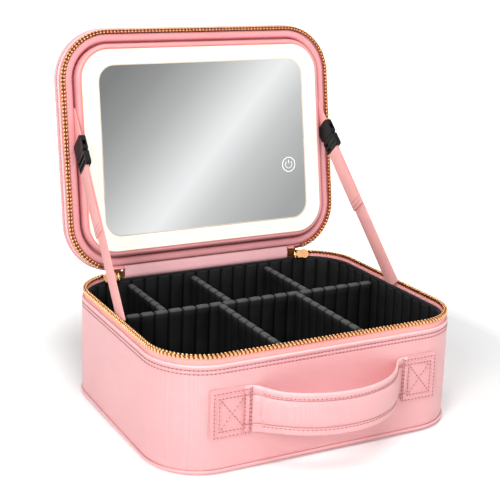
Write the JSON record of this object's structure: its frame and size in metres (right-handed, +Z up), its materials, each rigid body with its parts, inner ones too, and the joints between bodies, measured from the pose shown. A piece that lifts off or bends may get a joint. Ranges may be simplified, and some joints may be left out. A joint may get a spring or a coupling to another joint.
{
  "type": "vanity train case with lit mirror",
  "caption": "Soft-cornered leather-covered vanity case with a zipped lid, lit mirror panel, webbing lid straps, bowed front handle and lift-out ribbed dividers.",
  "frame": {"origin": "centre of the flat underside of the case, which rests on a table", "axes": "+X to the right along the handle face, -Y out of the front where the handle is, +Y to the hinge, +Z up"},
  "size_m": [0.2622, 0.2807, 0.2976],
  "materials": {
    "leather_pink": "fine grained",
    "lining_pink": "smooth",
    "webbing_pink": "fine weave",
    "zip_gold": "polished",
    "lining_black": "matt foam",
    "buckle_black": "satin",
    "mirror": "polished",
    "diffuser": "satin",
    "housing_white": "satin",
    "led": "satin",
    "cell": "satin",
    "board_green": "satin",
    "foam": "matt"
  },
  "bodies": {
    "base": {"base_shell": "leather_pink", "base_bottom": "leather_pink", "base_piping": "leather_pink", "base_tape": "webbing_pink", "base_teeth": "zip_gold", "base_facing": "lining_pink", "liner": "lining_black", "liner_binding": "lining_black", "floor_pad": "lining_black", "hinge_spine": "leather_pink", "hinge_panel": "lining_pink", "handle_strap": "leather_pink", "handle_tab_left": "leather_pink", "handle_tab_right": "leather_pink", "web_lower_left": "webbing_pink", "web_lower_right": "webbing_pink", "zip_slider_left": "zip_gold", "zip_slider_right": "zip_gold", "zip_stop_left": "zip_gold", "zip_stop_right": "zip_gold"},
    "lid": {"lid_shell": "leather_pink", "lid_board": "leather_pink", "lid_piping": "leather_pink", "lid_tape": "webbing_pink", "lid_teeth": "zip_gold", "lid_facing": "lining_pink", "lid_core": "foam", "lid_band": "lining_pink", "lid_pad": "lining_pink", "mirror_housing": "housing_white", "light_frame": "diffuser", "mirror_glass": "mirror", "led_strip": "led", "battery_cell": "cell", "control_board": "board_green", "web_upper_left": "webbing_pink", "web_upper_right": "webbing_pink", "buckle_socket_left": "buckle_black", "buckle_socket_right": "buckle_black", "buckle_plug_left": "buckle_black", "buckle_plug_right": "buckle_black"},
    "divider_long": {"divider_long": "lining_black"},
    "divider_back_left": {"divider_back_left": "lining_black"},
    "divider_back_mid": {"divider_back_mid": "lining_black"},
    "divider_back_right": {"divider_back_right": "lining_black"},
    "divider_front_left": {"divider_front_left": "lining_black"},
    "divider_front_right": {"divider_front_right": "lining_black"},
    "pull_left": {"zip_pull_left": "zip_gold"},
    "pull_right": {"zip_pull_right": "zip_gold"}
  },
  "joints": [
    {"name": "lid_hinge", "type": "hinge", "parent": "base", "child": "lid", "pos_m": [0, 0.099, 0.09755], "axis": [-1, 0, 0], "range_deg": [-99, 0], "deforming": ["hinge_spine", "hinge_panel", "web_lower_left", "web_lower_right"]},
    {"name": "lift_long", "type": "slide", "parent": "base", "child": "divider_long", "axis": [0, 0, 1], "range_m": [0, 0.09]},
    {"name": "lift_back_left", "type": "slide", "parent": "base", "child": "divider_back_left", "axis": [0, 0, 1], "range_m": [0, 0.016]},
    {"name": "lift_back_mid", "type": "slide", "parent": "base", "child": "divider_back_mid", "axis": [0, 0, 1], "range_m": [0, 0.016]},
    {"name": "lift_back_right", "type": "slide", "parent": "base", "child": "divider_back_right", "axis": [0, 0, 1], "range_m": [0, 0.016]},
    {"name": "lift_front_left", "type": "slide", "parent": "base", "child": "divider_front_left", "axis": [0, 0, 1], "range_m": [0, 0.09]},
    {"name": "lift_front_right", "type": "slide", "parent": "base", "child": "divider_front_right", "axis": [0, 0, 1], "range_m": [0, 0.09]},
    {"name": "pull_left_swing", "type": "hinge", "parent": "base", "child": "pull_left", "pos_m": [-0.0875, 0.0938, 0.0894], "axis": [0, 0.5, 0.866], "range_deg": [0, 95]},
    {"name": "pull_right_swing", "type": "hinge", "parent": "base", "child": "pull_right", "pos_m": [0.0875, 0.0938, 0.0894], "axis": [0, -0.5, -0.866], "range_deg": [0, 95]}
  ]
}
